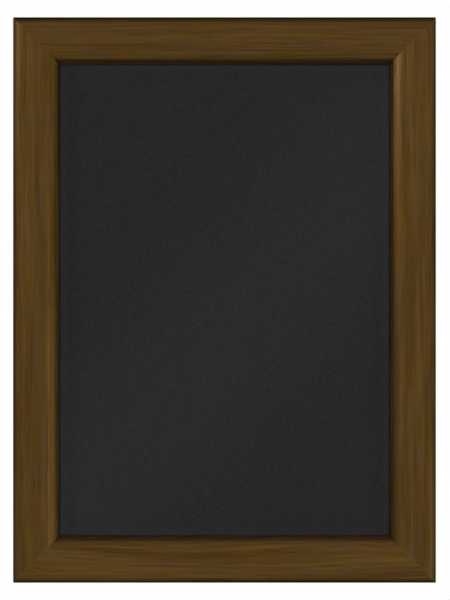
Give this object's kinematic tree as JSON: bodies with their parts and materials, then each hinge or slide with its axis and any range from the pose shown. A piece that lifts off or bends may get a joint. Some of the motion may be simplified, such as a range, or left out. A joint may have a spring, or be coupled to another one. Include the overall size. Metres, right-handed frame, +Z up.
{
  "type": "snap frame chalkboard",
  "caption": "Wall-hung chalkboard in a mitred snap frame; its wood-effect rails hinge open on over-centre leaf springs.",
  "frame": {"origin": "middle of the back plane, which is the middle of the four wall holes", "axes": "+Z up along the long sides, -Y out of the front, +X to the right seen from the front"},
  "size_m": [0.365, 0.016, 0.488],
  "materials": {
    "wood_effect": "dark wood-effect film on extruded aluminium, satin",
    "brown_base": "dark brown coated extruded aluminium, satin",
    "zinc_steel": "bright zinc-plated pressed steel",
    "black_steel": "black oxide steel",
    "spring_steel": "tempered spring steel, lightly blued",
    "backing": "smooth hardboard",
    "chalk_surface": "matt black chalkboard paint on hardboard"
  },
  "bodies": {
    "root": {"base_rail_bottom": "brown_base", "base_rail_right": "brown_base", "base_rail_top": "brown_base", "base_rail_left": "brown_base", "corner_key_bottom_right": "zinc_steel", "corner_key_top_right": "zinc_steel", "corner_key_top_left": "zinc_steel", "corner_key_bottom_left": "zinc_steel", "grub_screws": "black_steel", "back_panel": "backing", "chalkboard": "chalk_surface"},
    "lid_bottom": {"snap_rail_bottom": "wood_effect"},
    "springs_bottom": {"spring_bottom_left": "spring_steel", "spring_bottom_right": "spring_steel"},
    "lid_right": {"snap_rail_right": "wood_effect"},
    "springs_right": {"spring_right_bottom": "spring_steel", "spring_right_top": "spring_steel"},
    "lid_top": {"snap_rail_top": "wood_effect"},
    "springs_top": {"spring_top_right": "spring_steel", "spring_top_left": "spring_steel"},
    "lid_left": {"snap_rail_left": "wood_effect"},
    "springs_left": {"spring_left_top": "spring_steel", "spring_left_bottom": "spring_steel"}
  },
  "joints": [
    {"name": "lid_bottom_hinge", "type": "hinge", "parent": "root", "child": "lid_bottom", "pos_m": [0, -0.0118, -0.24118], "axis": [1, 0, 0], "range_deg": [0, 100]},
    {"name": "springs_bottom_rock", "type": "hinge", "parent": "root", "child": "springs_bottom", "pos_m": [0, -0.01236, -0.2252], "axis": [1, 0, 0], "range_deg": [-36.67, 0], "deforming": ["spring_bottom_left", "spring_bottom_right"]},
    {"name": "lid_right_hinge", "type": "hinge", "parent": "root", "child": "lid_right", "pos_m": [0.17968, -0.0118, 0], "axis": [0, 0, 1], "range_deg": [0, 100]},
    {"name": "springs_right_rock", "type": "hinge", "parent": "root", "child": "springs_right", "pos_m": [0.1637, -0.01236, 0], "axis": [0, 0, 1], "range_deg": [-36.67, 0], "deforming": ["spring_right_bottom", "spring_right_top"]},
    {"name": "lid_top_hinge", "type": "hinge", "parent": "root", "child": "lid_top", "pos_m": [0, -0.0118, 0.24118], "axis": [-1, 0, 0], "range_deg": [0, 100]},
    {"name": "springs_top_rock", "type": "hinge", "parent": "root", "child": "springs_top", "pos_m": [0, -0.01236, 0.2252], "axis": [-1, 0, 0], "range_deg": [-36.67, 0], "deforming": ["spring_top_right", "spring_top_left"]},
    {"name": "lid_left_hinge", "type": "hinge", "parent": "root", "child": "lid_left", "pos_m": [-0.17968, -0.0118, 0], "axis": [0, 0, -1], "range_deg": [0, 100]},
    {"name": "springs_left_rock", "type": "hinge", "parent": "root", "child": "springs_left", "pos_m": [-0.1637, -0.01236, 0], "axis": [0, 0, -1], "range_deg": [-36.67, 0], "deforming": ["spring_left_top", "spring_left_bottom"]}
  ],
  "couplings": [
    {"joint": "springs_bottom_rock", "follows": "lid_bottom_hinge", "ratio": -0.36571},
    {"joint": "springs_right_rock", "follows": "lid_right_hinge", "ratio": -0.36571},
    {"joint": "springs_top_rock", "follows": "lid_top_hinge", "ratio": -0.36571},
    {"joint": "springs_left_rock", "follows": "lid_left_hinge", "ratio": -0.36571}
  ]
}
